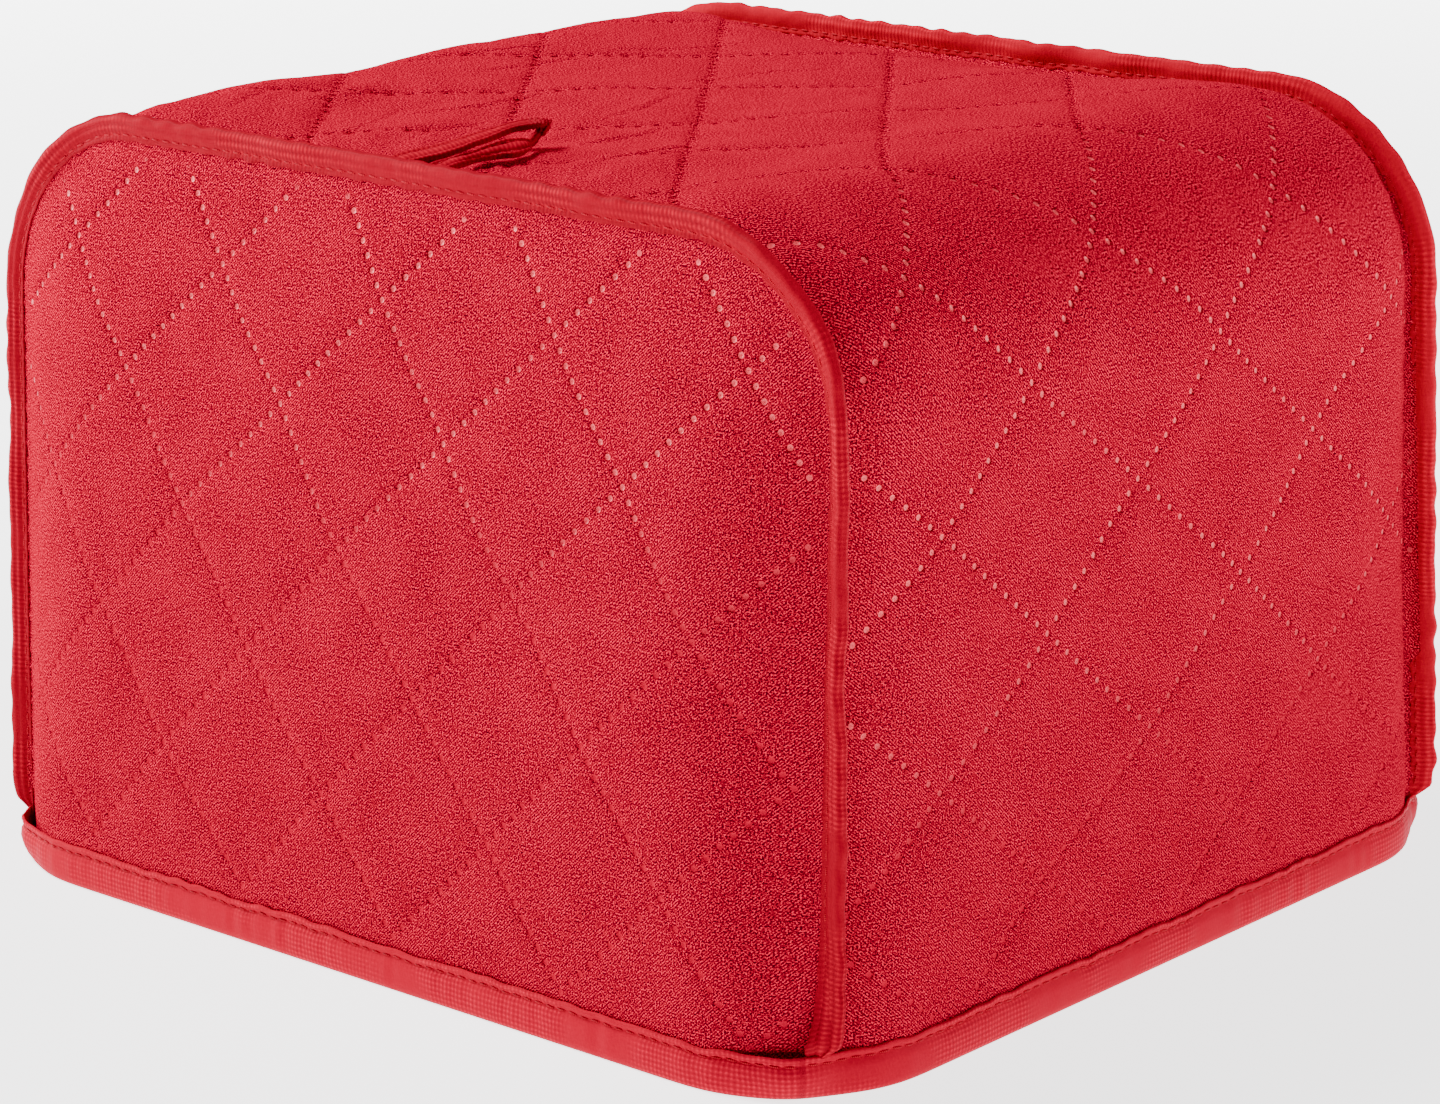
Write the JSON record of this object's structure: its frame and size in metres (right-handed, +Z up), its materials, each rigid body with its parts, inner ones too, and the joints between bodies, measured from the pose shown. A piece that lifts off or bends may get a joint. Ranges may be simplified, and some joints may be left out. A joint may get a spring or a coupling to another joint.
{
  "type": "quilted toaster cover",
  "caption": "Soft quilted fabric cover shaped like a box with rounded shoulders, bound seams standing out as fins, a bound hem and a small hanging loop on top.",
  "frame": {"origin": "on the surface the cover stands on, under the middle of its hem", "axes": "+Z up from the hem to the top, +X from the rounded end panel with the loop at its seam to the other one, +Y along the width of those panels"},
  "size_m": [0.2758, 0.2954, 0.2049],
  "materials": {
    "brushed_cloth": "brushed quilted microfibre, matt",
    "bias_tape": "plain-weave bias tape, slight sheen"
  },
  "bodies": {
    "root": {"panel_near": "brushed_cloth", "panel_far": "brushed_cloth", "gusset": "brushed_cloth", "binding_near": "bias_tape", "binding_far": "bias_tape", "hem_binding": "bias_tape", "hang_loop": "bias_tape"}
  },
  "joints": []
}
